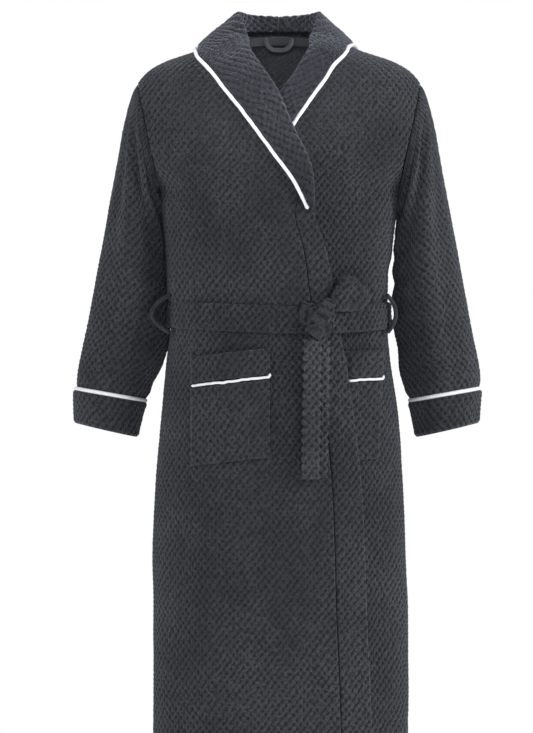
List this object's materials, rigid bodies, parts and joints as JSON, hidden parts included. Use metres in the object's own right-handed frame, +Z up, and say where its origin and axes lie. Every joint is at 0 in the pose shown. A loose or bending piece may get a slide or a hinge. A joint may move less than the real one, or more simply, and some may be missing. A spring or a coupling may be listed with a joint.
{
  "type": "bathrobe",
  "caption": "Long waffle-fleece wrap robe with a shawl collar, piped collar, cuffs and patch pockets, tied closed by a belt in side loops.",
  "frame": {"origin": "the body form's neck: the centre of the neck opening, level with the side neck points", "axes": "+Z up, the wearer faces -Y, so the wearer's left is +X"},
  "size_m": [0.7094, 0.2834, 1.2511],
  "materials": {
    "fleece": "charcoal coral fleece embossed with a diamond waffle, soft sheen",
    "belt": "the same charcoal fleece, doubled into a soft strap",
    "piping": "white satin-covered cord",
    "tape": "charcoal woven tape"
  },
  "bodies": {
    "robe": {"back_panel": "fleece", "front_panel_right": "fleece", "front_panel_left": "fleece", "front_band_right": "fleece", "front_band_left": "fleece", "collar_right": "fleece", "collar_left": "fleece", "collar_piping_right": "piping", "collar_piping_left": "piping", "pocket_right": "fleece", "pocket_left": "fleece", "pocket_band_right": "fleece", "pocket_band_left": "fleece", "pocket_piping_right": "piping", "pocket_piping_left": "piping", "belt_waist": "belt", "belt_knot": "belt", "belt_bow": "belt", "belt_loop_right": "belt", "belt_loop_left": "belt", "neck_tape": "tape"},
    "sleeve_left": {"sleeve_left": "fleece", "cuff_left": "fleece", "cuff_piping_left": "piping"},
    "sleeve_right": {"sleeve_right": "fleece", "cuff_right": "fleece", "cuff_piping_right": "piping"},
    "belt_tail_front": {"belt_tail_front": "belt"},
    "belt_tail_back": {"belt_tail_back": "belt"},
    "hanger_loop": {"hanger_loop": "tape"}
  },
  "joints": [
    {"name": "sleeve_left_lift", "type": "hinge", "parent": "robe", "child": "sleeve_left", "pos_m": [0.2445, 0, -0.079], "axis": [0, -1, 0], "range_deg": [0, 70]},
    {"name": "sleeve_right_lift", "type": "hinge", "parent": "robe", "child": "sleeve_right", "pos_m": [-0.2445, 0, -0.079], "axis": [0, 1, 0], "range_deg": [0, 70]},
    {"name": "belt_tail_front_swing", "type": "hinge", "parent": "robe", "child": "belt_tail_front", "pos_m": [0.057, -0.1405, -0.523], "axis": [-1, 0, 0], "range_deg": [0, 70]},
    {"name": "belt_tail_back_swing", "type": "hinge", "parent": "robe", "child": "belt_tail_back", "pos_m": [0.071, -0.1405, -0.523], "axis": [-1, 0, 0], "range_deg": [0, 70]},
    {"name": "hanger_loop_flip", "type": "hinge", "parent": "robe", "child": "hanger_loop", "pos_m": [0, 0.0491, 0.002], "axis": [-1, 0, 0], "range_deg": [0, 160]}
  ],
  "couplings": [
    {"joint": "belt_tail_back_swing", "follows": "belt_tail_front_swing", "ratio": 1}
  ]
}
